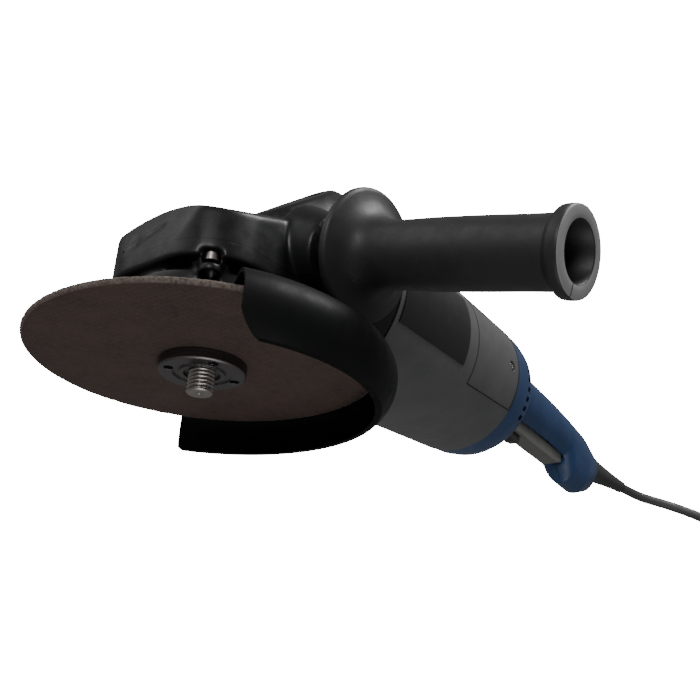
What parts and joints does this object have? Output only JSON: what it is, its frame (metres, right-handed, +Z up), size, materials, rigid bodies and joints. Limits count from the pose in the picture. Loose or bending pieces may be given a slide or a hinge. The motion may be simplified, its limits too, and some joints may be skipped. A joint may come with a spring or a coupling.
{
  "type": "angle grinder",
  "caption": "Large two-hand angle grinder: round motor body, bevel gear head with half guard and grinding disc, side handle, looped rear grip with trigger, and mains cord.",
  "frame": {"origin": "on the spindle axis, halfway along the free length of the spindle thread below the locking nut", "axes": "+Z up along the spindle, so the disc faces down; +X along the motor to the rear handle; the side handle is on the -Y side"},
  "size_m": [0.6955, 0.3535, 0.1545],
  "materials": {
    "head_black": "black paint, satin",
    "alloy_grey": "machined",
    "steel": "satin",
    "felt": "felt",
    "black_plastic": "matte",
    "grey_plastic": "fine texture",
    "dark_steel": "blackened",
    "guard_black": "satin",
    "disc_brown": "resin bonded grit with fibre mesh",
    "handle_grey": "matte",
    "laminations": "varnished",
    "copper": "enamelled wire",
    "brass": "satin",
    "carbon": "matte",
    "rubber": "matte",
    "plate_black": "gloss",
    "blue_plastic": "satin",
    "trigger_grey": "matte",
    "cord_grey": "matte",
    "plug_black": "satin",
    "suppressor_yellow": "gloss"
  },
  "bodies": {
    "housing": {"gear_housing": "head_black", "bearing_flange": "alloy_grey", "flange_screws": "steel", "felt_seal": "felt", "spindle_bearing": "steel", "needle_bearing": "steel", "case_screws": "steel", "spindle_lock_spring": "steel", "side_handle_grip": "handle_grey", "side_handle_stud": "steel", "motor_housing": "grey_plastic", "fan_baffle": "black_plastic", "stator_core": "laminations", "stator_coils": "copper", "front_bearing": "steel", "rear_bearing": "steel", "rear_bearing_sleeve": "rubber", "brush_holders": "brass", "carbon_brushes": "carbon", "brush_springs": "steel", "brush_cover_left": "grey_plastic", "brush_cover_right": "grey_plastic", "brush_cover_screws": "steel", "side_plate_left": "plate_black", "side_plate_right": "plate_black", "rear_collar": "blue_plastic", "rear_handle_left": "blue_plastic", "rear_handle_right": "blue_plastic", "handle_screws": "steel", "trigger_switch": "black_plastic", "suppressor": "suppressor_yellow", "trigger_pin": "steel", "cord_clamp": "black_plastic", "clamp_screws": "steel", "strain_relief": "cord_grey", "cord": "cord_grey", "cord_coil": "cord_grey", "cord_tail": "cord_grey", "plug": "plug_black", "plug_pins": "brass"},
    "spindle": {"spindle": "steel", "crown_gear": "dark_steel", "crown_key": "dark_steel", "inner_flange": "dark_steel", "grinding_disc": "disc_brown", "locking_nut": "dark_steel"},
    "armature": {"armature_shaft": "steel", "drive_pinion": "dark_steel", "pinion_nut": "steel", "armature_core": "laminations", "armature_windings": "copper", "commutator": "copper", "cooling_fan": "black_plastic"},
    "guard": {"disc_guard": "guard_black", "guard_band": "guard_black", "guard_screw": "steel", "guard_nut": "steel"},
    "spindle_lock": {"spindle_lock_button": "black_plastic"},
    "trigger": {"trigger": "trigger_grey"},
    "catch": {"lock_off_catch": "black_plastic"}
  },
  "joints": [
    {"name": "armature_spin", "type": "hinge", "parent": "housing", "child": "armature", "pos_m": [0, 0, 0.088], "axis": [1, 0, 0], "continuous": true},
    {"name": "spindle_spin", "type": "hinge", "parent": "housing", "child": "spindle", "pos_m": [0, 0, 0], "axis": [0, 0, 1], "continuous": true},
    {"name": "guard_turn", "type": "hinge", "parent": "housing", "child": "guard", "pos_m": [0, 0, 0], "axis": [0, 0, 1], "range_deg": [-60, 60]},
    {"name": "spindle_lock_press", "type": "slide", "parent": "housing", "child": "spindle_lock", "axis": [0, -1, 0], "range_m": [0, 0.0045], "stiffness_N_per_m": 1500, "springref_m": -0.002, "deforming": ["spindle_lock_spring"]},
    {"name": "trigger_press", "type": "hinge", "parent": "housing", "child": "trigger", "pos_m": [0.306, 0, 0.088], "axis": [0, -1, 0], "range_deg": [0, 4.5], "stiffness_Nm_per_rad": 4, "springref_deg": -8.59},
    {"name": "catch_turn", "type": "hinge", "parent": "trigger", "child": "catch", "pos_m": [0.328, 0, 0.076], "axis": [0, -1, 0], "range_deg": [0, 20], "stiffness_Nm_per_rad": 0.1, "springref_deg": -17.19}
  ],
  "couplings": [
    {"joint": "spindle_spin", "follows": "armature_spin", "ratio": 0.33333}
  ]
}
